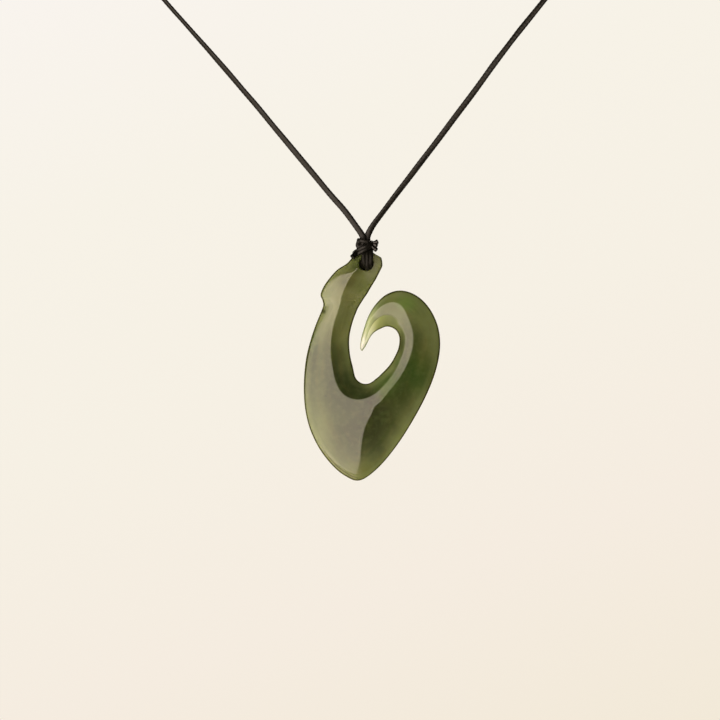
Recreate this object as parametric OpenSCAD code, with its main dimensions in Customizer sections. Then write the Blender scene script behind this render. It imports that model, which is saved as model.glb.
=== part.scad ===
/* [Stone hook] */
// Height of the hook, from its head to its foot
hook_height = 51.2; // [46:0.4:56]
// Thickness of the hook at its thickest, over the foot
hook_thick = 6; // [5:0.1:7]
// Half of the thickness left at the polished rim
rim_half = 0.35; // [0.2:0.05:0.5]
// How far in from the edge the rim's rounding reaches
rim_round = 0.22; // [0.1:0.02:0.4]
// Fall of the band between the crest and the bevel, in degrees
band_fall = 9; // [4:1:14]
// Swell of the bevel round the inside of the hook
bevel_swell = 0.05; // [0:0.05:0.6]

/* [Cord hole] */
// Width of the drilled hole through the head
hole_d = 3; // [2.9:0.1:3.3]
// Distance from the middle of the stone to the start of the countersink
sink_from = 1; // [0.8:0.1:1.3]
// How much the countersink's radius grows with each millimetre outwards
sink_flare = 0.5; // [0.4:0.05:0.7]

/* [Lashing] */
// Width of one strand through the hole
strand_d = 0.88; // [0.7:0.02:0.9]
// Distance between the strands' middles
strand_pitch = 0.98; // [0.96:0.01:1]
// Height of the knot's underside over the hole
knot_foot = 3.4; // [3.4:0.05:3.6]
// Height of the knot's top over the hole
knot_top = 5.5; // [5.3:0.1:5.7]
// Radius of the knot's rounded lobes
lobe_r = 1.25; // [1.1:0.05:1.3]

/* [Neck cord] */
// Width of the flat waxed cord
cord_width = 1.4; // [1:0.1:1.4]
// Thickness of the flat waxed cord
cord_thick = 0.85; // [0.6:0.05:1]
// Length of the wrapped knot at the nape
closure_length = 16; // [12:1:16]
// Width of the wrapped knot at the nape
closure_d = 4.4; // [3.6:0.2:5]

/* [Hidden] */

// Height of the cord over the hole where it runs round the nape, and of the place that rests on
// the nape, under the wrapped knot
cord_top = 152.2;
nape_up = cord_top - closure_d / 2;

// The height that the table below was drawn at
table_height = 51.2;
plan = hook_height / table_height;

// Steps from one row of the table to the next
steps = 3;

// Sections across the hook, from the cut head down the back, round the foot and up to the barb.
// Places are measured from the middle of the hole. The thickness is a share of the thickest,
// the crest and the bevel's upper edge are shares of the way from the outer edge to the inner,
// and the swell says how far the slope up to the crest bulges.
OUT_X = 0; OUT_Z = 1; IN_X = 2; IN_Z = 3; THICK = 4; CREST = 5; BEVEL = 6; SWELL = 7;
SECTIONS = [
    // out x, out z, in x, in z, thick, crest, bevel, swell
    [  1.8,   2.3,  3.3,   1.4, 0.18, 0.44, 0.50, 0.3],
    [  0.6,   3.1,  3.5,   0.5, 0.44, 0.38, 0.43, 0.4],
    [ -1.1,   3.0,  3.5,  -0.5, 0.58, 0.34, 0.38, 0.4],
    [ -2.8,   1.8,  3.0,  -1.6, 0.64, 0.33, 0.36, 0.4],
    [ -4.4,   0.1,  2.3,  -3.0, 0.68, 0.35, 0.38, 0.4],
    [ -6.4,  -1.2,  1.6,  -4.2, 0.71, 0.39, 0.42, 0.4],
    [ -8.1,  -3.0,  0.8,  -5.5, 0.73, 0.43, 0.46, 0.4],
    [ -9.5,  -5.0,  0.1,  -6.7, 0.74, 0.46, 0.49, 0.4],
    [-10.2,  -6.8, -0.6,  -7.7, 0.74, 0.48, 0.51, 0.4],
    [ -9.8,  -8.0, -1.1,  -8.5, 0.74, 0.46, 0.49, 0.4],
    [ -9.6,  -9.1, -1.6,  -9.3, 0.74, 0.44, 0.47, 0.4],
    [-10.0, -10.4, -2.1, -10.3, 0.74, 0.45, 0.48, 0.4],
    [-11.2, -13.3, -3.1, -13.0, 0.75, 0.48, 0.51, 0.4],
    [-12.3, -16.5, -3.8, -16.3, 0.77, 0.52, 0.55, 0.4],
    [-13.3, -20.4, -3.7, -19.8, 0.79, 0.55, 0.58, 0.4],
    [-13.8, -24.4, -3.0, -23.0, 0.82, 0.58, 0.61, 0.4],
    [-13.9, -28.6, -2.4, -25.3, 0.86, 0.62, 0.65, 0.4],
    [-13.5, -32.9, -1.2, -26.4, 0.91, 0.67, 0.70, 0.4],
    [-12.3, -37.3,  0.0, -26.6, 0.94, 0.71, 0.74, 0.4],
    [-10.0, -41.7,  0.8, -26.4, 0.91, 0.76, 0.79, 1.1],
    [ -7.0, -45.3,  1.3, -26.1, 0.93, 0.77, 0.82, 1.15],
    [ -4.3, -47.3,  1.6, -25.9, 0.95, 0.78, 0.845, 1.05],
    [ -2.0, -48.1,  1.9, -25.6, 0.98, 0.75, 0.855, 0.6],
    [  0.4, -47.1,  2.2, -25.4, 1.00, 0.73, 0.855, 0.15],
    [  3.7, -44.1,  2.8, -24.9, 0.98, 0.71, 0.85, -0.1],
    [  7.3, -39.5,  3.5, -24.2, 1.00, 0.715, 0.84, 0.1],
    [ 10.5, -34.4,  4.3, -23.4, 0.94, 0.70, 0.84, 0.4],
    [ 13.3, -29.1,  5.3, -22.2, 0.90, 0.69, 0.85, 0.4],
    [ 15.3, -24.0,  6.2, -20.7, 0.86, 0.68, 0.86, 0.4],
    [ 16.3, -19.1,  7.1, -18.6, 0.82, 0.68, 0.87, 0.4],
    [ 16.1, -14.9,  7.3, -16.4, 0.79, 0.67, 0.87, 0.4],
    [ 14.8, -11.2,  6.7, -14.9, 0.75, 0.62, 0.85, 0.4],
    [ 12.6,  -8.2,  5.6, -14.1, 0.71, 0.53, 0.79, 0.4],
    [  9.9,  -6.4,  4.4, -13.9, 0.66, 0.42, 0.70, 0.4],
    [  7.0,  -5.9,  3.3, -14.3, 0.61, 0.34, 0.63, 0.4],
    [  4.2,  -6.9,  2.3, -14.8, 0.55, 0.30, 0.60, 0.4],
    [  1.9,  -9.1,  1.4, -15.5, 0.48, 0.30, 0.60, 0.4],
    [  0.4, -11.6,  0.7, -16.5, 0.41, 0.31, 0.62, 0.4],
    [ -0.5, -14.1,  0.3, -17.3, 0.34, 0.33, 0.63, 0.3],
    [ -1.2, -16.6, -0.2, -18.3, 0.26, 0.36, 0.62, 0.2],
    [ -1.4, -18.5, -0.7, -19.0, 0.18, 0.40, 0.60, 0.1],
    [ -1.2, -19.2, -0.9, -19.3, 0.13, 0.42, 0.58, 0.0]
];
last_row = len(SECTIONS) - 1;

// Shares of the outer slope, of the band and of the bevel at which a section has points
SLOPE_AT = [0, 0.12, 0.4, 0.7, 1];
BAND_AT = [0.5, 1];
BEVEL_AT = [0.35, 0.7, 1];

function mix(a, b, t) = a + (b - a) * t;
function unit(v) = v / norm(v);
function spread(lists) = [for (one = lists) each one];

// A curve through b and c, and a smoother one that only passes near them
function through(a, b, c, d, t) =
    0.5 * (2 * b + (c - a) * t + (2 * a - 5 * b + 4 * c - d) * t * t
           + (3 * b - a - 3 * c + d) * t * t * t);
function near(a, b, c, d, t) =
    (pow(1 - t, 3) * a + (3 * t * t * t - 6 * t * t + 4) * b
     + (3 * t + 3 * t * t - 3 * t * t * t + 1) * c + t * t * t * d) / 6;

// One section between row k and the next: its edges pass through the table's points
function row(k) = SECTIONS[min(max(k, 0), last_row)];
function part_of(r, from, to) = [for (i = [from:to]) r[i]];
function section(k, t) =
    concat(through(part_of(row(k - 1), OUT_X, IN_Z), part_of(row(k), OUT_X, IN_Z),
                   part_of(row(k + 1), OUT_X, IN_Z), part_of(row(k + 2), OUT_X, IN_Z), t) * plan,
           near(part_of(row(k - 1), THICK, SWELL), part_of(row(k), THICK, SWELL),
                part_of(row(k + 1), THICK, SWELL), part_of(row(k + 2), THICK, SWELL), t));
function across(s) = norm([s[IN_X] - s[OUT_X], s[IN_Z] - s[OUT_Z]]);

// Half of the stone's thickness at a share u of the way across a section
function swelled(t, swell) = t * (1 + swell * (1 - t));
function top_half(s) = max(s[THICK] * hook_thick / 2, rim_half);
function bevel_half(s) =
    max(top_half(s) - (s[BEVEL] - s[CREST]) * across(s) * tan(band_fall), rim_half);
function half_at(s, u) =
    u <= s[CREST] ? mix(rim_half, top_half(s), swelled(u / s[CREST], s[SWELL])) :
    u <= s[BEVEL] ? mix(top_half(s), bevel_half(s), (u - s[CREST]) / (s[BEVEL] - s[CREST])) :
    mix(rim_half, bevel_half(s), swelled((1 - u) / (1 - s[BEVEL]), bevel_swell));

// The shares across a section that have points, and the closed ring of its points
function shares(s) =
    let (edge = rim_round / max(across(s), 4 * rim_round))
    concat([for (t = SLOPE_AT) mix(edge, s[CREST], t)],
           [for (t = BAND_AT) mix(s[CREST], s[BEVEL], t)],
           [for (t = BEVEL_AT) mix(s[BEVEL], 1 - edge, t)]);
function stone_point(s, u, y) = [mix(s[OUT_X], s[IN_X], u), y, mix(s[OUT_Z], s[IN_Z], u)];
function stone_ring(s) =
    let (us = shares(s), n = len(us))
    concat([stone_point(s, 0, 0)],
           [for (u = us) stone_point(s, u, -half_at(s, u))],
           [stone_point(s, 1, 0)],
           [for (i = [n - 1:-1:0]) stone_point(s, us[i], half_at(s, us[i]))]);

// A skin over rings of equal count: closed by flat ends, or joined back to its first ring
module skin(rings, closed = false) {
    n = len(rings[0]);
    m = len(rings);
    bands = closed ? m : m - 1;
    sides = [for (i = [0:bands - 1], j = [0:n - 1])
        let (a = i * n + j, b = i * n + (j + 1) % n,
             c = ((i + 1) % m) * n + j, d = ((i + 1) % m) * n + (j + 1) % n)
        each [[a, b, c], [b, d, c]]];
    ends = closed ? [] : [[for (j = [n - 1:-1:0]) j], [for (j = [0:n - 1]) (m - 1) * n + j]];
    polyhedron(points = spread(rings), faces = concat(sides, ends), convexity = 8);
}

// Rings of a cord of eight sides along a path. A path's row holds x, y, z and, for a flat cord,
// its turn in degrees. The plane's normal keeps the rings from twisting, and an open cord's ends
// are cut square to the two headings given for them, so that they lie flat on what they meet.
CORD_SIDES = 8;
function place_of(p) = [p[0], p[1], p[2]];
function heading(path, i, ends) =
    let (m = len(path))
    len(ends) == 2 && i == 0 ? ends[0] :
    len(ends) == 2 && i == m - 1 ? ends[1] :
    unit(place_of(path[(i + 1) % m]) - place_of(path[(i + m - 1) % m]));
function cord_ring(p, ahead, normal, width, thick) =
    let (side = unit(cross(ahead, normal)), up = cross(side, ahead),
         turn = len(p) > 3 ? p[3] : 0)
    [for (j = [0:CORD_SIDES - 1])
        let (a = 360 * j / CORD_SIDES, w = width / 2 * cos(a), h = thick / 2 * sin(a))
        place_of(p) + side * (w * cos(turn) - h * sin(turn)) + up * (w * sin(turn) + h * cos(turn))];
module cord(path, normal, width, thick, ends = []) {
    skin([for (i = [0:len(path) - 1])
        cord_ring(path[i], heading(path, i, ends), normal, width, thick)], len(ends) == 0);
}

// A smooth run of rings along hand-chosen points
function smooth(points, count) =
    let (m = len(points) - 1)
    concat([for (k = [0:m - 1], i = [0:count - 1])
        through(points[max(k - 1, 0)], points[k], points[k + 1], points[min(k + 2, m)], i / count)],
        [points[m]]);

// Half of a strand's way, y and z: from the knot down the front and to the middle of the hole
STRAND_WAY = [[-1.3, knot_foot], [-1.35, 3.05], [-1.8, 2.7], [-2.35, 2.1], [-2.5, 1.3],
              [-2.5, 0.4], [-2.3, -0.35], [-1.85, -0.65], [-1.35, -0.45], [-0.85, -0.2], [0, -0.15]];
function strand_path(x) =
    concat([for (p = STRAND_WAY) [x, p[0], p[1]]],
           [for (i = [len(STRAND_WAY) - 2:-1:0]) [x, -STRAND_WAY[i][0], STRAND_WAY[i][1]]]);

// The slanting turn of cord round the strands: a tilted oval
binding_mid = [-0.3, 0, 3.15];
binding_reach = [2.95, 3.25];
binding_slant = 14;
BINDING_RINGS = 28;
binding_path = [for (i = [0:BINDING_RINGS - 1])
    let (a = 360 * i / BINDING_RINGS, x = binding_reach[0] * cos(a))
    [binding_mid[0] + x * cos(binding_slant), binding_reach[1] * sin(a),
     binding_mid[2] + x * sin(binding_slant)]];

// The middles of the knot's lobes
LOBES_X = [-1.1, 0.8];
LOBES_Y = [-0.7, 0.7];

// The rounding at the ends of the wrapped knot, along it and across it
closure_round = [0.8, 0.6];

// The trimmed ends: where each starts and stops
CUT_ENDS = [[[-2.7, -2.75, 2.35], [-3.5, -2.95, 1.45]],
            [[2.25, -1.2, 4.95], [2.9, -1.5, 5.4]],
            [[2.3, -1.9, 4.6], [3.1, -2.3, 4.2]],
            [[2.0, -2.02, 2.72], [2.35, -2.25, 2.15]]];

// The cord's route from the knot to the knot at the nape, chosen by hand and measured from the
// hole. It hangs in one plane: x, z, and the turn of the flat cord in degrees.
LEFT_ROUTE = [[-1.2, knot_top, 0], [-1.3, 6.3, 0], [-2.5, 8.5, 5], [-5, 12, 10], [-8.5, 16, 15],
              [-17.3, 26.6, 25], [-26, 37, 40], [-34.9, 47.3, 55], [-44.3, 57.9, 70],
              [-55.3, 71, 75], [-66, 85.5, 70], [-72.5, 100.5, 60], [-73, 116, 45],
              [-66.5, 131, 30], [-54, 142.5, 15], [-38, 149.5, 5], [-22, 152, 0],
              [-11, cord_top, 0], [-closure_length / 2, cord_top, 0]];
RIGHT_ROUTE = [[0.3, knot_top, 0], [0.4, 6.3, 0], [1.4, 8.5, -20], [3.7, 11.6, -30], [7, 16, -20],
               [15, 26.4, -5], [23, 37.1, 5], [30.9, 47.8, 20], [38.8, 57.8, 40],
               [49.3, 71, 50], [60.3, 85.5, 50], [68.5, 100.5, 45], [70.5, 116, 35],
               [65, 131, 25], [53, 142.5, 15], [37.5, 149.5, 5], [22, 152, 0],
               [11, cord_top, 0], [closure_length / 2, cord_top, 0]];
route_steps = 2;

module hook() {
    color("darkolivegreen")
    difference() {
        skin([for (k = [0:last_row - 1], i = [0:steps - 1]) stone_ring(section(k, i / steps)),
              stone_ring(section(last_row, 0))]);
        rotate([90, 0, 0]) cylinder(h = 2 * hook_thick, r = hole_d / 2, center = true, $fn = 48);
        for (face = [-1, 1])
            rotate([90 * face, 0, 0])
            translate([0, 0, sink_from])
            cylinder(h = hook_thick / 2, r1 = hole_d / 2,
                     r2 = hole_d / 2 + sink_flare * hook_thick / 2, $fn = 48);
    }
}

module strand(x) {
    color([0.17, 0.15, 0.13])
    cord(strand_path(x), [1, 0, 0], strand_d, strand_d, [[0, 0, -1], [0, 0, 1]]);
}

module knot() {
    mid = (knot_foot + knot_top) / 2;
    color([0.15, 0.14, 0.12])
    intersection() {
        hull()
            for (x = LOBES_X, y = LOBES_Y)
                translate([x, y, mid]) sphere(r = lobe_r, $fn = 24);
        translate([0, 0, mid]) cube([10, 10, knot_top - knot_foot], center = true);
    }
}

module binding() {
    color([0.17, 0.15, 0.13])
    cord(binding_path, [-sin(binding_slant), 0, cos(binding_slant)], strand_d, strand_d);
}

module cut_ends() {
    color([0.2, 0.18, 0.16])
    for (end = CUT_ENDS)
        let (ahead = unit(end[1] - end[0]))
        cord(end, [0, 1, 0], strand_d, strand_d, [ahead, ahead]);
}

module neck_cord(route) {
    towards_middle = [-sign(route[len(route) - 1][0]), 0, 0];
    path = [for (p = smooth(route, route_steps)) [p[0], 0, p[1], p[2]]];
    color([0.17, 0.15, 0.13])
    cord(path, [0, 1, 0], cord_width, cord_thick, [[0, 0, 1], towards_middle]);
}

module neck_knot() {
    r = closure_d / 2;
    end = closure_length / 2;
    color([0.15, 0.14, 0.12])
    translate([0, 0, cord_top])
    rotate([0, 90, 0])
    rotate_extrude($fn = 32)
    polygon([[0, -end], [r - closure_round[1], -end], [r, -end + closure_round[0]],
             [r, end - closure_round[0]], [r - closure_round[1], end], [0, end]]);
}

// The part hangs from the inside of its loop, which is the origin
module hung() {
    translate([0, 0, -nape_up]) children();
}

hung() hook();
hung() strand(-strand_pitch);  // strand_left
hung() strand(0);  // strand_middle
hung() strand(strand_pitch);  // strand_right
hung() knot();
hung() binding();
hung() cut_ends();
hung() neck_cord(LEFT_ROUTE);  // neck_cord_left
hung() neck_cord(RIGHT_ROUTE);  // neck_cord_right
hung() neck_knot();
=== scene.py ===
"""A carved greenstone fish-hook pendant, lashed to a loop of flat waxed cord with a knot at the nape."""
import math
from collections import namedtuple

import bmesh
import bpy
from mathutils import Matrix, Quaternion, Vector, noise
from mathutils.kdtree import KDTree


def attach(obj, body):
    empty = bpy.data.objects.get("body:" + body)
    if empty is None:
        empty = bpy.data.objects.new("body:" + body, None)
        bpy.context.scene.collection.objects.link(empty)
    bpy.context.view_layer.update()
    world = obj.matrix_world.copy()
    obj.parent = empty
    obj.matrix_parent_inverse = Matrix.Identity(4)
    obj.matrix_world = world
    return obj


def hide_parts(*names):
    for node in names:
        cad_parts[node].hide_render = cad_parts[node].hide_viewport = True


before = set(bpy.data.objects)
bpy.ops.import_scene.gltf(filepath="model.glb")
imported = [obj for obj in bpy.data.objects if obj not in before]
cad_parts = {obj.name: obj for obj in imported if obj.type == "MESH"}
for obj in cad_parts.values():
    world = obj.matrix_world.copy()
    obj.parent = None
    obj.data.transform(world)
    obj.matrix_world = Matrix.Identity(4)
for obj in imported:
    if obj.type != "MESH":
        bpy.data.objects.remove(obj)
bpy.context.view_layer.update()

BODY = "root"
MM = 0.001

# Every size below is in millimetres and every place is measured from the middle of the cord hole:
# x to the right, y to the back, z up. The frame's own origin is on the nape, under the wrapped knot.
NAPE_UP = 150


def place(x, y, z):
    """A place measured from the cord hole, as a point of the frame in metres."""
    return Vector((x, y, z - NAPE_UP)) * MM


# The camera stands level in front of the stone, at the photograph's angle.
PHOTO_SIZE = 720
MM_PER_PIXEL = 0.222
HOLE_PIXEL = (366.5, 264)
CAMERA_AWAY = 600
SENSOR = 36


def of_pixel(px, py, y=0):
    """The place that a pixel of the photograph shows, at the depth of the hole."""
    return (px - HOLE_PIXEL[0]) * MM_PER_PIXEL, y, (HOLE_PIXEL[1] - py) * MM_PER_PIXEL


def make_camera():
    data = bpy.data.cameras.new("camera")
    data.sensor_width = SENSOR
    data.lens = SENSOR * CAMERA_AWAY / (PHOTO_SIZE * MM_PER_PIXEL)
    camera = bpy.data.objects.new("camera", data)
    camera.location = place(*of_pixel(PHOTO_SIZE / 2, PHOTO_SIZE / 2, -CAMERA_AWAY))
    camera.rotation_euler = (math.pi / 2, 0, 0)
    bpy.context.scene.collection.objects.link(camera)
    bpy.context.scene.camera = camera


# Curves and skins

# Points closer than this are welded, and an edge is left sharp from this many degrees
WELD_WITHIN = 0.001
SHARP_FROM = 50


def through(a, b, c, d, t):
    """A point on the curve through b and c, a share t of the way from b to c."""
    return [0.5 * (2 * q + (r - p) * t + (2 * p - 5 * q + 4 * r - s) * t ** 2
                   + (3 * q - p - 3 * r + s) * t ** 3) for p, q, r, s in zip(a, b, c, d)]


def near(a, b, c, d, t):
    """A smoother curve, which only passes near b and c."""
    return [((1 - t) ** 3 * p + (3 * t ** 3 - 6 * t ** 2 + 4) * q
             + (3 * t + 3 * t ** 2 - 3 * t ** 3 + 1) * r + t ** 3 * s) / 6
            for p, q, r, s in zip(a, b, c, d)]


def along_table(rows, k, t, curve):
    """The curve's value a share t of the way from row k of a table to the next."""
    last = len(rows) - 1
    a, b, c, d = (rows[min(max(i, 0), last)] for i in (k - 1, k, k + 1, k + 2))
    return curve(a, b, c, d, t)


def smooth_run(rows, steps):
    """The rows with curved steps put between them."""
    run = [along_table(rows, k, i / steps, through) for k in range(len(rows) - 1) for i in range(steps)]
    return run + [list(rows[-1])]


def mix(a, b, t):
    return a + (b - a) * t


def roll_through(bm, rings, lengths):
    """Rolls a grid of faces up so that its rows pass through rings of points, all of one count.

    The UV map holds the share of the way round, and the way along from lengths, in millimetres.
    Returns where each vertex sits, as (ring, point).
    """
    uv = bm.loops.layers.uv.verify()
    around, rows = len(rings[0]), len(rings) - 1
    verts = bmesh.ops.create_grid(bm, x_segments=rows, y_segments=around, size=0.5)["verts"]
    seats = {}
    for vert in verts:
        k, j = round((vert.co.x + 0.5) * rows), round((vert.co.y + 0.5) * around)
        seats[vert] = (k, j)
        vert.co = rings[k][j % around]
    for face in {face for vert in verts for face in vert.link_faces}:
        for corner in face.loops:
            k, j = seats[corner.vert]
            corner[uv].uv = (j / around, lengths[k])
    return seats


def close_up(bm):
    """Welds the seams and closes the open ends."""
    bmesh.ops.remove_doubles(bm, verts=bm.verts, dist=WELD_WITHIN * MM)
    bmesh.ops.holes_fill(bm, edges=[edge for edge in bm.edges if edge.is_boundary])
    bmesh.ops.recalc_face_normals(bm, faces=bm.faces)


def mesh_object(name, bm, *materials):
    """A smooth-shaded object of the closed mesh, with the edges over the sharp angle left sharp."""
    close_up(bm)
    mesh = bpy.data.meshes.new(name)
    bm.to_mesh(mesh)
    bm.free()
    for material in materials:
        mesh.materials.append(material)
    mesh.shade_smooth()
    mesh.set_sharp_from_angle(angle=math.radians(SHARP_FROM))
    piece = bpy.data.objects.new(name, mesh)
    bpy.context.scene.collection.objects.link(piece)
    return piece


def stand_for(piece, slot, *nodes):
    """The piece rides on the body, in place of the named nodes of the CAD model."""
    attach(piece, BODY)
    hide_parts(*nodes)
    return piece


# Material nodes

def linear(colour):
    """An sRGB hex colour as linear RGBA."""
    parts = [int(colour[i:i + 2], 16) / 255 for i in (1, 3, 5)]
    return [p / 12.92 if p <= 0.04045 else ((p + 0.055) / 1.055) ** 2.4 for p in parts] + [1]


def add(tree, kind, settings=None, **links):
    """Adds a node. settings are its properties, or its sockets' values; links feed its sockets.

    A socket is given by its name, with _ for a space, or as s0, s1 and so on by its number. The setting
    stops holds a colour ramp's pairs of (place, hex colour).
    """
    node = tree.nodes.new("ShaderNode" + kind)

    def socket(key):
        if key[0] == "s" and key[1:].isdigit():
            return node.inputs[int(key[1:])]
        return node.inputs[key.replace("_", " ")]

    for key, value in (settings or {}).items():
        if key == "stops":
            elements = node.color_ramp.elements
            while len(elements) < len(value):
                elements.new(0.5)
            for element, (spot, colour) in zip(elements, value):
                element.position = spot
                element.color = linear(colour)
        elif hasattr(node, key):
            setattr(node, key, value)
        else:
            socket(key).default_value = value
    for key, source in links.items():
        tree.links.new(source, socket(key))
    return node


def following(tree, *ranges):
    """A value that follows one source or more: the product of what the ranges give.

    A range is its source, the source's low and high, and what it gives at those, smoothly between them.
    """
    product = None
    for source, low, high, at_low, at_high in ranges:
        given = add(tree, "MapRange", {"interpolation_type": "SMOOTHSTEP", "From_Min": low, "From_Max": high,
                                       "To_Min": at_low, "To_Max": at_high}, Value=source).outputs["Result"]
        if product is None:
            product = given
        else:
            product = add(tree, "Math", {"operation": "MULTIPLY"}, s0=product, s1=given).outputs["Value"]
    return product


def layered(tree, colour, layers):
    """The colour with layers laid over it, each as strongly as its ranges give.

    A layer is its hue, as a hex value or a node's output, and then its ranges.
    """
    for hue, *ranges in layers:
        laid = add(tree, "Mix", {"data_type": "RGBA"}, s0=following(tree, *ranges), s6=colour)
        if isinstance(hue, str):
            laid.inputs[7].default_value = linear(hue)
        else:
            tree.links.new(hue, laid.inputs[7])
        colour = laid.outputs[2]
    return colour


def shader_of(name):
    """A new material, its node tree and its Principled shader."""
    material = bpy.data.materials.new(name)
    material.use_nodes = True
    tree = material.node_tree
    return material, tree, tree.nodes["Principled BSDF"]


# The strands of the braid cross once in this length, and stand this proud
BRAID_PITCH = 0.9
BRAID_RELIEF = 0.035
BRAID_STOPS = [(0.3, "#0A0A08"), (0.55, "#141410"), (0.75, "#28261E")]
BEAD_STOPS = [(0.3, "#080807"), (0.7, "#12110F")]
# How brightly cord shines, and how brightly the strands on the stone shine: less, as painted shade
WAXED_SHINE = 0.3
SHADED_SHINE = 0.14


def waxed_polyester(name, shine):
    """Braided polyester cord drawn through wax: near black, and shine says how brightly it shines."""
    material, tree, shader = shader_of(name)
    uv = add(tree, "UVMap").outputs["UV"]
    spot = add(tree, "Mapping", {"Scale": (1, 1 / BRAID_PITCH, 1)}, Vector=uv).outputs["Vector"]
    # The filaments of a strand are far finer than a pixel, so they are drawn five to eight to the millimetre
    drawn = add(tree, "Mapping", {"Scale": (6, 1 / BRAID_PITCH, 1)}, Vector=uv).outputs["Vector"]
    fibres = add(tree, "TexNoise", {"Scale": 5.0, "Detail": 3.0}, Vector=drawn).outputs["Fac"]
    # The wax lies in patches a few crossings of the braid long
    patches = add(tree, "TexNoise", {"Scale": 0.4, "Detail": 2.0}, Vector=spot).outputs["Fac"]
    shade = add(tree, "ValToRGB", {"stops": BRAID_STOPS}, s0=fibres).outputs["Color"]
    colour = layered(tree, shade, [("#2A2820", (patches, 0.45, 0.7, 0, 0.35))])
    tree.links.new(colour, shader.inputs["Base Color"])
    tree.links.new(following(tree, (patches, 0.3, 0.7, 0.32, 0.55)), shader.inputs["Roughness"])
    bump = add(tree, "Bump", {"Strength": 0.35, "Distance": 0.05 * MM}, Height=fibres)
    tree.links.new(bump.outputs["Normal"], shader.inputs["Normal"])
    shader.inputs["Specular IOR Level"].default_value = shine
    return material


def melted_polyester(name):
    """The cord's ends, melted by a flame into hard black beads with a bright shine."""
    material, tree, shader = shader_of(name)
    spot = add(tree, "TexCoord").outputs["Object"]
    lumps = add(tree, "TexNoise", {"Scale": 1 / (0.5 * MM), "Detail": 1.0}, Vector=spot).outputs["Fac"]
    black = add(tree, "ValToRGB", {"stops": BEAD_STOPS}, s0=lumps).outputs["Color"]
    tree.links.new(black, shader.inputs["Base Color"])
    bump = add(tree, "Bump", {"Strength": 0.6, "Distance": 0.15 * MM}, Height=lumps)
    tree.links.new(bump.outputs["Normal"], shader.inputs["Normal"])
    shader.inputs["Roughness"].default_value = 0.16
    return material


# Flat waxed cord

CORD_WIDTH = 1.4
CORD_THICK = 0.85
CORD_SIDES = 20
# The cord is squarer than an oval, by this share
CORD_SQUARED = 0.06
# Rings of a cord stand this far apart, four to each crossing of the braid
RING_STEP = BRAID_PITCH / 4
# How much the cord's width, turn and line wander, over about this length
WANDER_LENGTH = 7
WIDTH_WANDER = 0.07
TURN_WANDER = 9
LINE_WANDER = 0.05
# The wandering fades out over this many rings at a cord's ends
FADE_RINGS = 6


def wander(seed, way, amount):
    return amount * noise.noise(Vector((way / WANDER_LENGTH, seed, 0.5)))


def cord_ring(point, ahead, normal, width, thick, turn, way):
    """The braided outline of a flat cord round a point of its line."""
    side = ahead.cross(normal).normalized()
    up = side.cross(ahead)
    turn = math.radians(turn)
    across = side * math.cos(turn) + up * math.sin(turn)
    out = up * math.cos(turn) - side * math.sin(turn)
    phase = math.pi * way / BRAID_PITCH
    ring = []
    for j in range(CORD_SIDES):
        a = 2 * math.pi * j / CORD_SIDES
        fullness = 1 - CORD_SQUARED * math.cos(4 * a)
        relief = BRAID_RELIEF * math.sin(phase + 2 * a) * math.sin(phase - 2 * a)
        wide = (width / 2 + relief) * fullness * math.cos(a)
        deep = (thick / 2 + relief) * fullness * math.sin(a)
        ring.append(place(*(point + across * wide + out * deep)))
    return ring


def lay_cord(bm, rows, normal, closed=False, ends=None, seed=1):
    """Lays a flat cord along rows of x, y, z, turn, width and thickness. Returns its line."""
    points = [Vector(row[:3]) for row in rows]
    last = len(points) - 1
    ways = [0]
    for a, b in zip(points, points[1:]):
        ways.append(ways[-1] + (b - a).length)
    rings = []
    for i, (point, row, way) in enumerate(zip(points, rows, ways)):
        if closed:
            ahead = points[(i + 1) % len(points)] - points[i - 1]
        elif ends and i in (0, last):
            ahead = Vector(ends[0 if i == 0 else 1])
        else:
            ahead = points[min(i + 1, last)] - points[max(i - 1, 0)]
        free = min(1, i / FADE_RINGS, (last - i) / FADE_RINGS)
        turn = row[3] + wander(seed, way, TURN_WANDER) * free
        width = row[4] * (1 + wander(seed + 3, way, WIDTH_WANDER) * free)
        shift = Vector((wander(seed + 5, way, LINE_WANDER), 0, wander(seed + 8, way, LINE_WANDER)))
        rings.append(cord_ring(point + shift * free, ahead.normalized(), Vector(normal), width, row[5],
                               turn, way))
    if closed:
        rings.append(rings[0])
        ways.append(ways[-1] + (points[0] - points[-1]).length)
    roll_through(bm, rings, ways)
    return points


def spaced(rows, step=RING_STEP):
    """The same line with its rows a step apart."""
    out = [list(rows[0])]
    left = step
    for a, b in zip(rows, rows[1:]):
        length = (Vector(b[:3]) - Vector(a[:3])).length
        gone = 0
        while length - gone >= left:
            gone += left
            out.append([mix(p, q, gone / length) for p, q in zip(a, b)])
            left = step
        left -= length - gone
    if (Vector(out[-1][:3]) - Vector(rows[-1][:3])).length < step / 2:
        out.pop()
    return out + [list(rows[-1])]


# The neck cord and the knot that closes it

KNOT_TOP = 5.5
CORD_TOP = 152.2
CLOSURE_LENGTH = 16
CLOSURE_WIDTH = 4.4
# The two runs crowd together over this height above the knot, the left one to the front and the right one
# to the back by this much, and are pressed wider by this share
CROWD_UP = 4
CROWD_BACK = 0.4
CROWD_WIDEN = 0.15
CURVE_STEPS = 12

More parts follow.
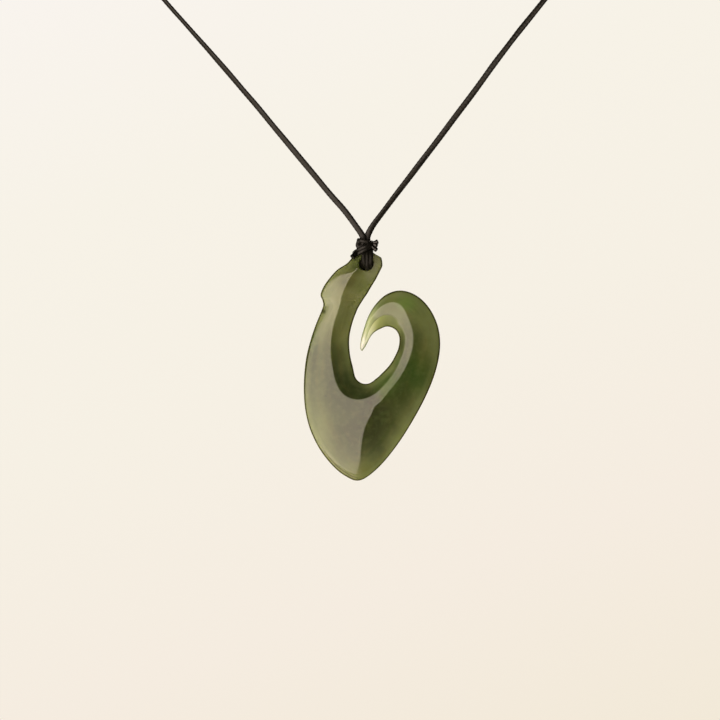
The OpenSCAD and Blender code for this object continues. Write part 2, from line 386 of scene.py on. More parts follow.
# The cord's route from the knot to the nape: x, z and the turn of the flat cord in degrees
LEFT_ROUTE = [
    [-0.8, KNOT_TOP - 0.3, 0], [-0.9, 6.3, 0], [-2.35, 8.5, 5], [-5, 12, 10], [-8.5, 16, 15],
    [-17.3, 26.6, 25], [-26, 37, 40], [-34.9, 47.3, 55], [-44.3, 57.9, 70],
    [-55.3, 71, 75], [-66, 85.5, 70], [-72.5, 100.5, 60], [-73, 116, 45],
    [-66.5, 131, 30], [-54, 142.5, 15], [-38, 149.5, 5], [-22, 152, 0],
    [-11, CORD_TOP, 0], [-CLOSURE_LENGTH / 2, CORD_TOP, 0],
]
RIGHT_ROUTE = [
    [0.1, KNOT_TOP - 0.3, 0], [0.25, 6.3, 0], [1.4, 8.5, -20], [3.7, 11.6, -30], [7, 16, -20],
    [15, 26.4, -5], [23, 37.1, 5], [30.9, 47.8, 20], [38.8, 57.8, 40],
    [49.3, 71, 50], [60.3, 85.5, 50], [68.5, 100.5, 45], [70.5, 116, 35],
    [65, 131, 25], [53, 142.5, 15], [37.5, 149.5, 5], [22, 152, 0],
    [11, CORD_TOP, 0], [CLOSURE_LENGTH / 2, CORD_TOP, 0],
]


def make_neck_cord(material, closure):
    """One cord from the knot round the nape and back, through the wrapped knot that closes the loop."""
    def beside(z):
        """How close to the knot a place of the cord is, from 0 to 1."""
        return max(0, 1 - (z - KNOT_TOP) / CROWD_UP) ** 2

    left = smooth_run(LEFT_ROUTE, CURVE_STEPS)
    right = [[x, z, -turn] for x, z, turn in reversed(smooth_run(RIGHT_ROUTE, CURVE_STEPS))]
    rows = [[x, back * beside(z), z, turn, CORD_WIDTH * (1 + CROWD_WIDEN * beside(z)), CORD_THICK]
            for run, back in ((left, -CROWD_BACK), (right, CROWD_BACK)) for x, z, turn in run]
    bm = bmesh.new()
    line = lay_cord(bm, spaced(rows), (0, 1, 0), ends=[(0, 0, 1), (0, 0, -1)])
    cord = stand_for(mesh_object("neck_cord", bm, material), "waxed_cord", "neck_cord_left",
                     "neck_cord_right")


def make_closure(material):
    """The plain wrapped knot at the nape: turns of cord laid side by side round the loop."""
    turns = round(CLOSURE_LENGTH / CORD_WIDTH) - 1
    reach = (CLOSURE_WIDTH - CORD_THICK) / 2
    span = CLOSURE_LENGTH - CORD_WIDTH
    steps = 24
    rows = []
    for i in range(turns * steps + 1):
        a = 2 * math.pi * i / steps
        x = mix(-span / 2, span / 2, i / (turns * steps))
        rows.append([x, reach * math.sin(a), CORD_TOP + reach * math.cos(a), 90, CORD_WIDTH, CORD_THICK])
    bm = bmesh.new()
    lay_cord(bm, spaced(rows), (1, 0, 0), seed=11)
    return stand_for(mesh_object("wrapped_nape_knot", bm, material), "waxed_cord", "neck_knot")


# The lashing over the head

STRAND_PITCH = 0.88
# The strands lie this far to the right of the hole's middle
STRAND_SHIFT = 0.14
# Half of a strand's way, from under the knot down the front to the middle of the hole: y, z, the share
# of the pitch that the outer strands keep, how much higher they stay, and the strand's width and depth.
# Inside the hole the strands swell until they fill it, so that no daylight shows beside them.
STRAND_WAY = [
    [-1.3, 3.4, 1.0, 0, 1.0, 0.88], [-1.35, 3.05, 0.98, 0, 1.02, 0.88], [-1.8, 2.7, 0.95, 0, 1.02, 0.88],
    [-2.3, 2.1, 0.92, 0, 1.0, 0.9], [-2.5, 1.3, 0.9, 0.1, 0.98, 0.9], [-2.5, 0.4, 0.86, 0.2, 0.97, 0.9],
    [-2.4, -0.3, 0.77, 0.45, 0.94, 0.88], [-2.1, -0.85, 0.62, 0.62, 0.86, 0.9],
    [-1.6, -1.0, 0.62, 0.55, 0.9, 1.05], [-1.1, -0.8, 0.8, 0.45, 1.1, 1.6],
    [-0.6, -0.4, 1.02, 0.25, 1.5, 2.75], [0.0, -0.3, 1.08, 0.2, 1.6, 3.0],
]

# Turns of cord that make the knot: the middle of each, how far it reaches along its two axes, its slant
# to the right, and its pitch, from 0 for a flat turn round the cords to 90 for one that faces forwards
KNOT_TURNS = [
    # x, y, z, reach across, reach other way, slant, pitch, width, thickness
    [-0.45, 0.0, 4.95, 1.35, 1.25, -14, 0, 1.00, 0.85],
    [-0.30, 0.0, 4.00, 1.70, 1.65, 27, 6, 0.95, 0.85],
    [-1.35, -0.85, 4.45, 0.60, 0.72, 20, 76, 1.20, 1.05],
    [-1.20, 0.90, 4.30, 0.55, 0.60, 10, 105, 1.00, 0.90],
    [0.62, -1.20, 4.55, 0.42, 0.50, -25, 66, 0.66, 0.62],
]
# The cord inside the knot is out of sight, and a plain core stands for it: its middle and its reach
KNOT_CORE = [(-0.4, 0, 4.4), (1.5, 1.3, 1.05)]
# The binding turns under the knot, by the same columns
BINDING_TURNS = [
    [-0.75, 0.0, 2.85, 2.65, 2.75, 30, 0, 0.90, 0.80],
    [-0.55, 0.0, 3.45, 2.45, 2.60, 25, -4, 0.90, 0.78],
]
TURN_STEPS = 40

# The trimmed ends: where each starts and stops, and its width
CUT_ENDS = [
    [(-2.3, -2.4, 2.35), (-3.15, -2.9, 1.3), 1.15],
    [(1.1, -1.1, 4.4), (2.55, -1.5, 4.95), 0.95],
    [(1.0, -1.6, 4.0), (2.25, -2.2, 2.95), 0.95],
    [(0.6, -0.9, 4.7), (2.35, -1.7, 3.95), 0.95],
]
# The flame leaves a small bead round an end. At each share of the way along, the share of the width
END_SWELL = [(0, 1), (0.3, 0.98), (0.6, 1), (0.85, 1.12), (0.95, 1.1), (1, 0.85)]
END_STEP = 0.08


def make_strand(name, column, material):
    half = smooth_run(STRAND_WAY, CURVE_STEPS)
    ways = half + [[-row[0]] + row[1:] for row in reversed(half[:-1])]
    rows = [[STRAND_SHIFT + column * STRAND_PITCH * share, y, z + abs(column) * lift, 0, deep, wide]
            for y, z, share, lift, wide, deep in ways]
    bm = bmesh.new()
    lay_cord(bm, spaced(rows), (1, 0, 0), seed=21 + column)
    stand_for(mesh_object(name + "_cord", bm, material), "waxed_cord", name)


def lay_turn(bm, turn, seed):
    """One closed turn of cord, from a row of the tables above."""
    x, y, z, reach_a, reach_b, slant, pitch, width, thick = turn
    slant, pitch = math.radians(slant), math.radians(pitch)
    first = Vector((math.cos(slant), 0, math.sin(slant)))
    other = Vector((0, math.cos(pitch), math.sin(pitch)))
    rows = []
    for i in range(TURN_STEPS):
        a = 2 * math.pi * i / TURN_STEPS
        point = Vector((x, y, z)) + first * (reach_a * math.cos(a)) + other * (reach_b * math.sin(a))
        rows.append([*point, 90, width, thick])
    lay_cord(bm, rows, first.cross(other), closed=True, seed=seed)


def make_knot(material):
    bm = bmesh.new()
    for seed, turn in enumerate(KNOT_TURNS):
        lay_turn(bm, turn, 31 + seed)
    core = bmesh.ops.create_icosphere(bm, subdivisions=4, radius=1)["verts"]
    for vert in core:
        vert.co = place(*(middle + reach * v for middle, reach, v in zip(*KNOT_CORE, vert.co)))
    stand_for(mesh_object("overhand_knot", bm, material), "waxed_cord", "knot")


def make_binding(material):
    bm = bmesh.new()
    for seed, turn in enumerate(BINDING_TURNS):
        lay_turn(bm, turn, 41 + seed)
    stand_for(mesh_object("binding_turns", bm, material), "waxed_cord", "binding")


def make_cut_ends(material):
    bm = bmesh.new()
    for seed, (start, stop, width) in enumerate(CUT_ENDS):
        rows = [[*(mix(p, q, t) for p, q in zip(start, stop)), 0, width * swell, width * swell]
                for t, swell in END_SWELL]
        lay_cord(bm, spaced(rows, END_STEP), (0, 1, 0), seed=51 + seed)
    stand_for(mesh_object("melted_cord_ends", bm, material), "waxed_cord", "cut_ends")


# The greenstone hook

Section = namedtuple("Section", "out_x out_z in_x in_z thick crest bevel swell ridge")

# Sections across the hook, from the cut head down the back, round the foot and up to the barb. The
# thickness is a share of the thickest, the crest and the bevel's upper edge are shares of the way from
# the outer edge to the inner, the swell says how far the slope up to the crest bulges, and the ridge is
# the width over which polishing has rounded the crest.
HOOK_SECTIONS = [
    # out x, out z, in x, in z, thick, crest, bevel, swell, ridge
    [1.8, 2.3, 3.3, 1.4, 0.18, 0.44, 0.50, 0.3, 0.3],
    [0.6, 3.1, 3.5, 0.5, 0.44, 0.38, 0.43, 0.4, 0.3],
    [-1.1, 3.0, 3.5, -0.5, 0.58, 0.34, 0.38, 0.4, 0.2],
    [-2.8, 1.8, 3.0, -1.6, 0.64, 0.33, 0.36, 0.4, 0.15],
    [-4.4, 0.1, 2.3, -3.0, 0.68, 0.35, 0.38, 0.4, 0.15],
    [-6.4, -1.2, 1.6, -4.2, 0.71, 0.39, 0.42, 0.4, 0.15],
    [-8.1, -3.0, 0.8, -5.5, 0.73, 0.43, 0.46, 0.4, 0.15],
    [-9.5, -5.0, 0.1, -6.7, 0.74, 0.46, 0.49, 0.4, 0.15],
    [-10.2, -6.8, -0.6, -7.7, 0.74, 0.48, 0.51, 0.4, 0.15],
    [-9.8, -8.0, -1.1, -8.5, 0.74, 0.46, 0.49, 0.4, 0.15],
    [-9.6, -9.1, -1.6, -9.3, 0.74, 0.44, 0.47, 0.4, 0.15],
    [-10.0, -10.4, -2.1, -10.3, 0.74, 0.45, 0.48, 0.4, 0.15],
    [-11.2, -13.3, -3.1, -13.0, 0.75, 0.48, 0.51, 0.4, 0.15],
    [-12.3, -16.5, -3.8, -16.3, 0.77, 0.52, 0.55, 0.4, 0.15],
    [-13.3, -20.4, -3.7, -19.8, 0.79, 0.55, 0.58, 0.4, 0.15],
    [-13.8, -24.4, -3.0, -23.0, 0.82, 0.58, 0.61, 0.4, 0.15],
    [-13.9, -28.6, -2.4, -25.3, 0.86, 0.62, 0.65, 0.4, 0.2],
    [-13.5, -32.9, -1.2, -26.4, 0.91, 0.645, 0.675, 0.4, 0.25],
    [-12.3, -37.3, 0.0, -26.6, 0.94, 0.685, 0.715, 0.4, 0.3],
    [-10.0, -41.7, 0.8, -26.4, 0.91, 0.75, 0.78, 1.1, 0.3],
    [-7.0, -45.3, 1.3, -26.1, 0.93, 0.77, 0.82, 1.15, 0.3],
    [-4.3, -47.3, 1.6, -25.9, 0.95, 0.78, 0.845, 1.05, 0.3],
    [-2.0, -48.1, 1.9, -25.6, 0.98, 0.75, 0.855, 0.6, 0.4],
    [0.4, -47.1, 2.2, -25.4, 1.00, 0.73, 0.855, 0.15, 0.5],
    [3.7, -44.1, 2.8, -24.9, 0.98, 0.71, 0.85, -0.1, 0.4],
    [7.3, -39.5, 3.5, -24.2, 1.00, 0.715, 0.84, 0.1, 0.4],
    [10.5, -34.4, 4.3, -23.4, 0.94, 0.70, 0.84, 0.4, 0.35],
    [13.3, -29.1, 5.3, -22.2, 0.90, 0.69, 0.85, 0.4, 0.3],
    [15.3, -24.0, 6.2, -20.7, 0.86, 0.68, 0.86, 0.4, 0.3],
    [16.3, -19.1, 7.1, -18.6, 0.82, 0.68, 0.87, 0.4, 0.3],
    [16.1, -14.9, 7.3, -16.4, 0.79, 0.67, 0.87, 0.4, 0.3],
    [14.8, -11.2, 6.7, -14.9, 0.75, 0.64, 0.85, 0.4, 0.3],
    [12.6, -8.2, 5.6, -14.1, 0.71, 0.55, 0.79, 0.4, 0.3],
    [9.9, -6.4, 4.4, -13.9, 0.66, 0.39, 0.70, 0.4, 0.25],
    [7.0, -5.9, 3.3, -14.3, 0.61, 0.31, 0.63, 0.4, 0.25],
    [4.2, -6.9, 2.3, -14.8, 0.55, 0.30, 0.60, 0.4, 0.15],
    [1.9, -9.1, 1.4, -15.5, 0.48, 0.30, 0.60, 0.4, 0.12],
    [0.4, -11.6, 0.7, -16.5, 0.41, 0.31, 0.62, 0.4, 0.15],
    [-0.5, -14.1, 0.3, -17.3, 0.34, 0.33, 0.63, 0.3, 0.1],
    [-1.2, -16.6, -0.2, -18.3, 0.26, 0.36, 0.62, 0.2, 0.1],
    [-1.4, -18.5, -0.7, -19.0, 0.18, 0.40, 0.60, 0.1, 0.1],
    [-1.2, -19.2, -0.9, -19.3, 0.13, 0.42, 0.58, 0.0, 0.1],
]
EDGE_COLUMNS = 4
SECTION_STEPS = 8

HOOK_THICK = 6
RIM_HALF = 0.35
RIM_ROUND = 0.22
BAND_FALL = 9
BEVEL_SWELL = 0.05

# Points across a section: round the rim, up the slope, over a ridge, along the band and down the bevel
RIM_ANGLES = [0, 22, 45, 68]
SLOPE_POINTS = 12
RIDGE_AT = [-1, -0.5, 0, 0.5, 1]
RIDGE_WEIGHTS = [0.1, 0.25, 0.3, 0.25, 0.1]
BAND_POINTS = 3
BEVEL_POINTS = 8

HOLE_WIDTH = 3
SINK_FROM = 1
SINK_FLARE = 0.5
HOLE_SIDES = 96
# An edge of the drilled stone is left sharp from this many degrees
HOLE_SHARP = 40


def section_between(k, t):
    edges = along_table([row[:EDGE_COLUMNS] for row in HOOK_SECTIONS], k, t, through)
    form = along_table([row[EDGE_COLUMNS:] for row in HOOK_SECTIONS], k, t, near)
    return Section(*edges, *form)


def width_of(s):
    return math.hypot(s.in_x - s.out_x, s.in_z - s.out_z)


def swelled(t, swell):
    return t * (1 + swell * (1 - t))


def half_at(s, u):
    """Half of the stone's thickness at a share u of the way across, with crisp ridges."""
    top = max(s.thick * HOOK_THICK / 2, RIM_HALF)
    fall = (s.bevel - s.crest) * width_of(s) * math.tan(math.radians(BAND_FALL))
    low = max(top - fall, RIM_HALF)
    if u <= s.crest:
        return mix(RIM_HALF, top, swelled(u / s.crest, s.swell))
    if u <= s.bevel:
        return mix(top, low, (u - s.crest) / (s.bevel - s.crest))
    return mix(RIM_HALF, low, swelled((1 - u) / (1 - s.bevel), BEVEL_SWELL))


def inside(low, high, count):
    """Shares evenly between two, without the two."""
    return [mix(low, high, i / (count + 1)) for i in range(1, count + 1)]


def profile(s):
    """Pairs of (share across, half thickness) from the outer edge to the inner."""
    rim = RIM_ROUND / max(width_of(s), 4 * RIM_ROUND)
    give = min(s.ridge / width_of(s), (s.crest - rim) / 2, (s.bevel - s.crest) / 2, (1 - rim - s.bevel) / 2)
    crest, bevel = ([ridge + give * d for d in RIDGE_AT] for ridge in (s.crest, s.bevel))
    shares = ([rim] + inside(rim, crest[0], SLOPE_POINTS) + crest + inside(crest[-1], bevel[0], BAND_POINTS)
              + bevel + inside(bevel[-1], 1 - rim, BEVEL_POINTS) + [1 - rim])
    body = []
    for u in shares:
        reach = min(s.ridge / width_of(s), u - rim, 1 - rim - u)
        halves = [weight * half_at(s, u + reach * d) for d, weight in zip(RIDGE_AT, RIDGE_WEIGHTS)]
        body.append((u, sum(halves)))
    arc = [(rim * (1 - math.cos(math.radians(a))), RIM_HALF * math.sin(math.radians(a))) for a in RIM_ANGLES]
    return arc + body + [(1 - u, half) for u, half in reversed(arc)]


def section_ring(s):
    """The closed ring of points of a section, front first, and each point's two distances.

    They are its way in from the nearer edge and its way past the bevel's upper edge.
    """
    front = profile(s)
    back = [(u, -half) for u, half in reversed(front[1:-1])]
    ring, ways = [], []
    for u, half in front + back:
        ring.append((mix(s.out_x, s.in_x, u), -half, mix(s.out_z, s.in_z, u)))
        ways.append((min(u, 1 - u) * width_of(s), (u - s.bevel) * width_of(s)))
    return ring, ways


def make_hook(material):
    sections = [section_between(k, i / SECTION_STEPS)
                for k in range(len(HOOK_SECTIONS) - 1) for i in range(SECTION_STEPS)]
    sections.append(Section(*HOOK_SECTIONS[-1]))
    made = [section_ring(s) for s in sections]
    bm = bmesh.new()
    seats = roll_through(bm, [[place(*p) for p in ring] for ring, ways in made],
                         [float(k) for k in range(len(made))])
    spots = [(vert.co.copy(), k / (len(made) - 1), *made[k][1][j % len(made[k][1])])
             for vert, (k, j) in seats.items()]
    hook = mesh_object("greenstone_hook", bm, material)
    drill(hook)
    mark(hook, spots)
    return stand_for(hook, "nephrite", "hook")


def drill(hook):
    """Cuts the cord hole, with a countersink on both faces."""
    narrow = HOLE_WIDTH / 2
    wide = narrow + SINK_FLARE * (HOOK_THICK - SINK_FROM)
    ways = [(-HOOK_THICK, wide), (-SINK_FROM, narrow), (SINK_FROM, narrow), (HOOK_THICK, wide)]
    turns = [2 * math.pi * j / HOLE_SIDES for j in range(HOLE_SIDES)]
    rings = [[place(radius * math.cos(a), y, radius * math.sin(a)) for a in turns] for y, radius in ways]
    bm = bmesh.new()
    roll_through(bm, rings, [0, 1, 2, 3])
    drill_bit = mesh_object("drill_bit", bm)
    cut = hook.modifiers.new("cord_hole", "BOOLEAN")
    cut.object = drill_bit
    cut.solver = "EXACT"
    graph = bpy.context.evaluated_depsgraph_get()
    mesh = bpy.data.meshes.new_from_object(hook.evaluated_get(graph))
    hook.modifiers.clear()
    hook.data = mesh
    mesh.shade_smooth()
    mesh.set_sharp_from_angle(angle=math.radians(HOLE_SHARP))
    bpy.data.objects.remove(drill_bit)


def mark(hook, spots):
    """Gives the stone three attributes.

    They are along, the share of the way from the head to the barb, and in millimetres rim, the way in
    from the nearer edge, and bevel, the way past the bevel's upper edge.
    """
    tree = KDTree(len(spots))
    for i, spot in enumerate(spots):
        tree.insert(spot[0], i)
    tree.balance()
    mesh = hook.data
    found = [spots[tree.find(vert.co)[1]] for vert in mesh.vertices]
    for name, column in (("along", 1), ("rim", 2), ("bevel", 3)):
        values = [spot[column] for spot in found]
        mesh.attributes.new(name, "FLOAT", "POINT").data.foreach_set("value", values)


def cloud(tree, spot, middle, reach):
    """A soft patch of the stone: 1 in its middle and 0 past its reach, a size for each axis."""
    scale = [1 / (r * MM) for r in reach]
    shift = [-m * s for m, s in zip(place(*middle), scale)]
    moved = add(tree, "Mapping", {"Location": shift, "Scale": scale}, Vector=spot).outputs["Vector"]
    return add(tree, "TexGradient", {"gradient_type": "SPHERICAL"}, Vector=moved).outputs["Fac"]


# The stone's green by half of its thickness, from a bare edge to the thickest place
STONE_STOPS = [(0.1, "#7A875A"), (0.5, "#6E784C"), (0.8, "#4A5430"), (1.0, "#363F20")]
# The matt bevel's green, on its way to the barb, where it grows paler with painted light that comes through
# the thin stone
MATT_AND_GLOW_STOPS = [(0.0, "#66743A"), (0.5, "#8A9852"), (1.0, "#CFD6B0")]
# Towards the bowl the matt bevel ends between these two shares of the way along, which are taken as 2 mm
# outside it and 2 mm inside it. Each millimetre past the bevel's upper edge adds a share, so the end slants
MATT_END = (0.765, 0.805, -2, 2)
MATT_SLANT = 0.022
# How large the stone's clouds and its felted fibre are, and how wide its streaks
CLOUD_SIZE = 8
FELT_SIZE = 1.2
STREAK_WIDTH = 1.25
# The streaks are drawn out: the whole way along the stone counts as the first, in millimetres of their
# pattern, and the second, in millimetres of depth, counts as one
STREAK_WAY = 22
STREAK_DEPTH = 2
NEPHRITE_IOR = 1.62
# Close round the hole, within this reach of its middle, the stone keeps no mirror
NEAR_HOLE_REACH = (3, 9, 3)


def polished_nephrite(name):
    """Nephrite jade, ground and polished to a wet shine: olive green, clouded, clearer where it is thin."""
    material, tree, shader = shader_of(name)
    spot = add(tree, "TexCoord").outputs["Object"]
    rim = add(tree, "Attribute", {"attribute_name": "rim"}).outputs["Fac"]
    along = add(tree, "Attribute", {"attribute_name": "along"}).outputs["Fac"]
    bevel = add(tree, "Attribute", {"attribute_name": "bevel"}).outputs["Fac"]
    clouds = add(tree, "TexNoise", {"Scale": 1 / (CLOUD_SIZE * MM), "Detail": 2.0, "Roughness": 0.45,
                                    "Distortion": 0.4}, Vector=spot).outputs["Fac"]
    felt = add(tree, "TexNoise", {"Scale": 1 / (FELT_SIZE * MM), "Detail": 4.0}, Vector=spot).outputs["Fac"]
    # Light comes through the stone where it is thin, so its colour follows half of its thickness
    backwards = add(tree, "SeparateXYZ", Vector=spot).outputs["Y"]
    depth = add(tree, "Math", {"operation": "ABSOLUTE"}, s0=backwards).outputs["Value"]
    thickness = following(tree, (depth, 0, HOOK_THICK / 2 * MM, 0, 1))
    colour = add(tree, "ValToRGB", {"stops": STONE_STOPS}, s0=thickness).outputs["Color"]
    # The fibre is drawn out along the stone, in streaks of brown and of green
    lengthwise = add(tree, "Math", {"operation": "MULTIPLY", "s1": STREAK_WAY}, s0=along).outputs["Value"]
    inwards = add(tree, "Math", {"operation": "DIVIDE", "s1": STREAK_DEPTH * MM}, s0=depth).outputs["Value"]
    flow = add(tree, "CombineXYZ", s0=lengthwise, s1=rim, s2=inwards).outputs["Vector"]
    streaks = add(tree, "TexNoise", {"Scale": 1 / STREAK_WIDTH, "Detail": 3.0, "Roughness": 0.55,
                                     "Distortion": 0.2}, Vector=flow).outputs["Fac"]
    # The bevel inside the barb is hard to reach with a polisher: it stays matt
    slanted = add(tree, "Math", {"operation": "MULTIPLY_ADD", "s1": MATT_SLANT}, s0=bevel, s2=along)
    within = following(tree, (slanted.outputs["Value"], *MATT_END))
    inner = add(tree, "Math", {"operation": "MINIMUM"}, s0=bevel, s1=within).outputs["Value"]
    matt = (inner, -0.05, 0.1, 0, 1)
    thinner = following(tree, (along, 0.79, 0.91, 0, 1))
    thin = add(tree, "ValToRGB", {"stops": MATT_AND_GLOW_STOPS}, s0=thinner).outputs["Color"]
    # The outer side of the foot's lower left
    foot = [(along, 0.45, 0.48, 0, 1), (along, 0.525, 0.54, 1, 0), (bevel, -8, -6, 1, 0)]
    # The patches are the stone's clouds and specks together with painted shade
    patches = [(hue, (cloud(tree, spot, of_pixel(*middle), reach), 0, 0.9, 0, strength))
               for middle, reach, strength, hue in CLOUDS_AND_PAINTED_SHADE]
    colour = layered(tree, colour, patches + [
        ("#4C5C2C", (clouds, 0.35, 0.65, 0, 0.3)),
        ("#8E9A62", (felt, 0.4, 0.75, 0, 0.1)),
        ("#7A6C3C", (streaks, 0.5, 0.72, 0, 0.1)),
        ("#35501C", (streaks, 0.5, 0.3, 0, 0.16)),
        # A lighter band follows the ground edge, and the stone grows paler towards the barb: painted light
        # that comes through the thin stone there
        ("#808C5A", (rim, 1.0, 1.9, 0.25, 0)),
        ("#96A07C", (along, 0.84, 0.90, 0, 0.5)),
        ("#BCC4A4", (along, 0.88, 0.94, 0, 0.5)),
        # The matt bevel, paler towards the barb with painted light through the thin stone; a painted dark
        # line of shade along its edge; and the barb's tip, painted bright with the light that comes through
        # it
        (thin, matt),
        ("#56602E", (inner, -0.25, -0.02, 0, 1), (inner, 0.02, 0.3, 0.55, 0)),
        ("#FDFDE8", (along, 0.92, 0.97, 0, 1)),
        # The foot is painted paler towards its edge, a painted highlight, and a second, fainter painted dark
        # line follows the edge there, so that the edge shows a second highlight line
        ("#9CA282", (rim, 0.9, 1.7, 0.4, 0), *foot),
        ("#33341A", (rim, 0.55, 0.7, 0, 0.6), (rim, 0.75, 0.95, 1, 0), *foot),
        # A broader dark border, painted shade, runs along the curl's outer edge on the way to the barb
        ("#3E4822", (rim, 0.35, 0.8, 1, 0), (bevel, -1.2, -0.7, 0.8, 0), (along, 0.80, 0.85, 0, 1)),
        # A narrow dark line, painted shade, runs along the ground edge itself
        ("#24240F", (rim, 0.18, 0.45, 0.92, 0)),
    ])
    tree.links.new(colour, shader.inputs["Base Color"])
    # The pale tint of a polished jade face is the room mirrored at the IOR of nephrite
    shader.inputs["IOR"].default_value = NEPHRITE_IOR
    roughness = following(tree, (following(tree, matt), 0, 1, 0.08, 0.6))
    tree.links.new(roughness, shader.inputs["Roughness"])
    # The sawn edge keeps no mirror, and nor does the stone close round the hole, so its countersink shows no
    # reflection
    near_hole = cloud(tree, spot, (0, 0, 0), NEAR_HOLE_REACH)
    mirror = following(tree, (rim, 0.22, 0.45, 0, 0.5), (near_hole, 0.12, 0.24, 1, 0))
    tree.links.new(mirror, shader.inputs["Specular IOR Level"])
    # What the narrow band beside the bowl mirrors is greener and dimmer than the rest
    beside = following(tree, (along, 0.57, 0.60, 0, 1), (along, 0.63, 0.68, 1, 0))
    tint = add(tree, "Mix", {"data_type": "RGBA", "s6": linear("#FFFFFF"), "s7": linear("#DEECD1")},
               s0=beside)
    tree.links.new(tint.outputs[2], shader.inputs["Specular Tint"])
    # The thin barb lets the light of the paper through, painted as a faint glow of its own
    tree.links.new(following(tree, (along, 0.85, 0.92, 0, 0.18)), shader.inputs["Emission Strength"])
    shader.inputs["Emission Color"].default_value = linear("#EDFFBC")
    shader.inputs["Subsurface Weight"].default_value = 0.9
    shader.inputs["Subsurface Radius"].default_value = (1.0, 1.0, 0.6)
    # Light wanders further through the thin, clear barb than through the body
    wandering = following(tree, (along, 0.82, 0.92, 3.5 * MM, 10 * MM))
    tree.links.new(wandering, shader.inputs["Subsurface Scale"])
    return material


# Patches of another shade: the middle's pixel in the photograph, the reach along x, y and z, how much
# of the hue they hold, and the hue. Most are the stone's own clouds and specks, and some are painted
# shade: in the bowl, on the right slope beside the ridge, and beside the strands under the knot
CLOUDS_AND_PAINTED_SHADE = [
    [(345, 305), (9, 9, 15), 0.8, "#84895A"],
    # Painted shade in the bowl
    [(350, 386), (9, 9, 9), 0.9, "#2A361C"],
    [(418, 370), (6.5, 9, 9), 0.85, "#284A14"],
    [(387, 382), (5, 9, 5), 0.6, "#4C6C36"],
    [(331, 302), (4, 9, 8), 0.45, "#A2AC8A"],
    [(311, 368), (5, 9, 16), 0.9, "#4A5638"],
    [(348, 442), (7, 9, 9), 0.6, "#30381E"],
    [(412, 305), (11, 9, 9), 0.6, "#7C8A58"],
    # Painted shade on the right slope beside the ridge
    [(376, 436), (5, 9, 10), 0.8, "#262F10"],
    [(361, 474), (5, 9, 5), 0.75, "#6A7234"],
    [(377, 266), (4, 9, 6), 0.45, "#A0A090"],
    [(374, 303), (4, 9, 3.5), 0.6, "#42582A"],
    # Painted shadow of the strands, to their left under the knot
    [(356, 262), (3, 9, 4), 0.8, "#2E3A14"],
    [(340, 354), (2.5, 9, 3.5), 0.4, "#30361C"],
    [(403, 401), (4, 9, 6), 0.5, "#262F10"],
    [(376, 401), (2.6, 9, 2.4), 0.9, "#2A2E16"],
    [(347, 280), (3, 9, 3), 0.7, "#4A5030"],
    [(407, 348), (2, 9, 4.5), 0.35, "#8A9060"],
    [(322, 328), (3, 9, 5), 0.2, "#A2AC8A"],
    [(311, 352), (2.5, 9, 7), 0.9, "#364226"],
    [(398, 362), (1.8, 9, 2.4), 0.45, "#305C20"],
    [(392, 306), (4, 9, 3), 0.5, "#56662E"],
    [(342, 333), (1.5, 9, 3), 0.3, "#8C8C54"],
    [(403, 344), (2, 9, 5.5), 0.95, "#1E280E"],
    [(327, 294), (1.6, 9, 3), 0.5, "#7C8E60"],
    [(313, 340), (1.6, 9, 5), 0.45, "#4E6A3C"],
    [(407, 303), (3.5, 9, 3), 0.45, "#6A9440"],
    [(391, 421), (3.2, 9, 5), 0.7, "#2A3012"],
    [(423, 356), (3, 9, 6), 0.25, "#84804A"],
    [(358, 452), (2.5, 9, 4), 0.45, "#30381E"],
    [(326, 396), (0.5, 9, 0.35), 0.7, "#3A4028"],
    [(373, 402), (0.5, 9, 0.5), 0.7, "#3A4028"],
    [(323.3, 311.3), (0.9, 9, 0.9), 1.0, "#040402"],
]


# The studio

# The softbox's light rises over this part of its width, from the edge that stands near the camera
FEATHER = (0.0, 0.22)
# It is rolled about the way it faces, so its edges stand aslant
ROLL = math.radians(14)
# The softbox faces the middle of the stone, which the photograph shows here
STONE_PIXEL = (370, 365)


def softbox(name, left, up, away, width, height, radiance, colour):
    """A softbox that faces the stone, at so many degrees to the left of the camera and above it.

    How far away it stands, its width and its height are in metres.
    """
    left, up = math.radians(left), math.radians(up)
    middle = place(*of_pixel(*STONE_PIXEL))
    towards = Vector((-math.sin(left) * math.cos(up), -math.cos(left) * math.cos(up), math.sin(up)))
    data = bpy.data.lights.new(name, "AREA")
    data.shape = "RECTANGLE"
    data.size = width
    data.size_y = height
    data.energy = radiance * math.pi * width * height
    data.color = linear(colour)[:3]
    # The cloth is feathered: dim at the edge that stands near the camera, and full from a fifth of its width
    data.use_nodes = True
    tree = data.node_tree
    across = add(tree, "SeparateXYZ", Vector=add(tree, "NewGeometry").outputs["Parametric"]).outputs["X"]
    feather = following(tree, (across, *FEATHER, 0, 1))
    tree.links.new(feather, tree.nodes["Emission"].inputs["Strength"])
    light = bpy.data.objects.new(name, data)
    light.location = middle + towards * away
    light.rotation_euler = (towards.to_track_quat("Z", "Y") @ Quaternion((0, 0, 1), -ROLL)).to_euler()
    bpy.context.scene.collection.objects.link(light)


# The backdrop's paper, from low at the right of the view to high at the left
PAPER_STOPS = [(0.0, "#F2E9D8"), (0.25, "#F5ECE0"), (0.5, "#F6F0E4"), (0.75, "#F7F2E7"), (1.0, "#F9F4EE")]
# The way in which the paper grows paler, and how far along it the first and last stops lie from the
# middle of the view, which is out at two of its corners
PAPER_LEAN = (-0.35, 0, 1)
PAPER_SPREAD = 0.18
# The paper lights the stone from behind: fully within the first angle from straight back, in degrees,
# and past the second there is only the dark room
GLOW_FULL = 30
GLOW_END = 45


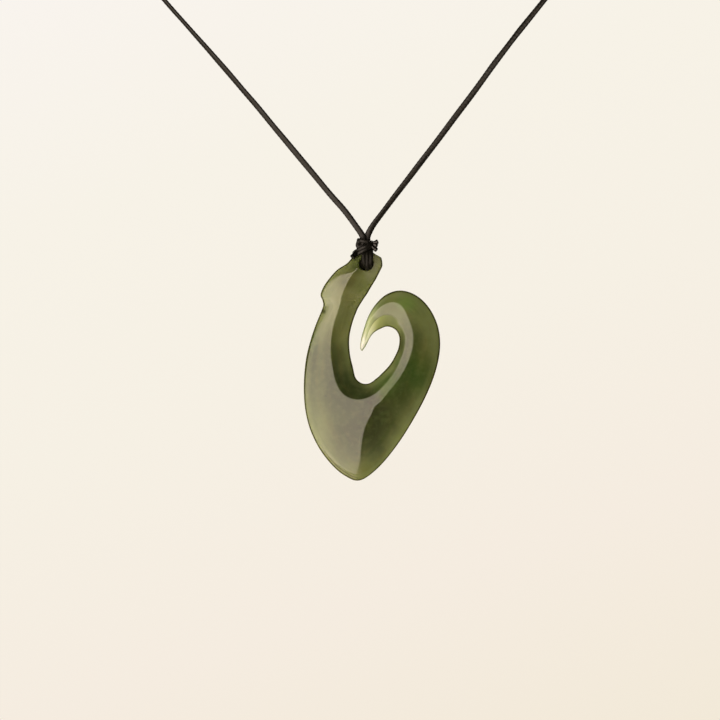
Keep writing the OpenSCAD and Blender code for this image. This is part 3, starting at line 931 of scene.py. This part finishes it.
def make_studio():
    """A dark studio with a pale backdrop behind the stone and one tall softbox at its left."""
    world = bpy.data.worlds.new("studio")
    bpy.context.scene.world = world
    world.use_nodes = True
    tree = world.node_tree
    tree.nodes.clear()
    direction = add(tree, "TexCoord").outputs["Generated"]
    axes = add(tree, "SeparateXYZ", Vector=direction).outputs
    # What the camera sees: paper, a little darker and warmer towards the floor
    upwards = add(tree, "VectorMath", {"operation": "DOT_PRODUCT", "s1": PAPER_LEAN}, s0=direction)
    spread = add(tree, "MapRange", {"From_Min": -PAPER_SPREAD, "From_Max": PAPER_SPREAD},
                 Value=upwards.outputs["Value"])
    paper = add(tree, "ValToRGB", {"stops": PAPER_STOPS}, s0=spread.outputs["Result"]).outputs["Color"]
    # What lights the stone: the paper glows in a cone behind it, and the rest of the room is dark
    end, full = (math.cos(math.radians(angle)) for angle in (GLOW_END, GLOW_FULL))
    behind = following(tree, (axes["Y"], end, full, 0, 1))
    glow = add(tree, "Mix", {"data_type": "RGBA", "s6": linear("#1A1816"), "s7": linear("#F6F0E4")},
               s0=behind)
    seen = add(tree, "LightPath").outputs["Is Camera Ray"]
    shown = add(tree, "Mix", {"data_type": "RGBA"}, s0=seen, s6=glow.outputs[2], s7=paper).outputs[2]
    light = add(tree, "Background", Color=shown)
    add(tree, "OutputWorld", Surface=light.outputs["Background"])
    softbox("left_softbox", left=36, up=-14, away=0.8, width=1.55, height=1.7, radiance=3.2, colour="#FFEBD8")


FLOOR_DOWN = 520
FLOOR_REACH = 1400
FLOOR_SHOWN = 0.75
FLOOR_SIDES = 96
FLOOR_STOPS = [(0.3, "#F2EADE"), (0.7, "#F4EDE2")]
# How large the paper's faint clouds are
TOOTH_SIZE = 40


def make_floor():
    """A plain pale floor, far enough below the stone to stay out of the photograph's view."""
    material, tree, shader = shader_of("matt_cream_paper")
    spot = add(tree, "TexCoord").outputs["Object"]
    tooth = add(tree, "TexNoise", {"Scale": 1 / (TOOTH_SIZE * MM), "Detail": 3.0}, Vector=spot).outputs["Fac"]
    shade = add(tree, "ValToRGB", {"stops": FLOOR_STOPS}, s0=tooth).outputs["Color"]
    tree.links.new(shade, shader.inputs["Base Color"])
    shader.inputs["Roughness"].default_value = 0.9
    # The room is dark so that the stone's right side stays deep: the paper shows as brightly as it is lit
    tree.links.new(shade, shader.inputs["Emission Color"])
    seen = add(tree, "LightPath").outputs["Is Camera Ray"]
    tree.links.new(following(tree, (seen, 0, 1, 0, FLOOR_SHOWN)), shader.inputs["Emission Strength"])
    bm = bmesh.new()
    bmesh.ops.create_circle(bm, cap_ends=True, segments=FLOOR_SIDES, radius=FLOOR_REACH * MM)
    bmesh.ops.translate(bm, verts=bm.verts, vec=place(0, 0, -FLOOR_DOWN))
    mesh = bpy.data.meshes.new("floor")
    bm.to_mesh(mesh)
    bm.free()
    mesh.materials.append(material)
    floor = bpy.data.objects.new("floor", mesh)
    bpy.context.scene.collection.objects.link(floor)


make_camera()
braid = waxed_polyester("waxed_polyester_braid", WAXED_SHINE)
make_neck_cord(braid, make_closure(braid))
# The strands get a copy of the braid that shines less, painted shade on the strands below the knot
shaded_braid = waxed_polyester("shaded_polyester_braid", SHADED_SHINE)
for name, column in (("strand_left", -1), ("strand_middle", 0), ("strand_right", 1)):
    make_strand(name, column, shaded_braid)
make_knot(braid)
make_binding(braid)
make_cut_ends(melted_polyester("melted_polyester"))
make_hook(polished_nephrite("polished_nephrite"))
make_floor()
make_studio()
bpy.context.scene.view_settings.view_transform = "Standard"
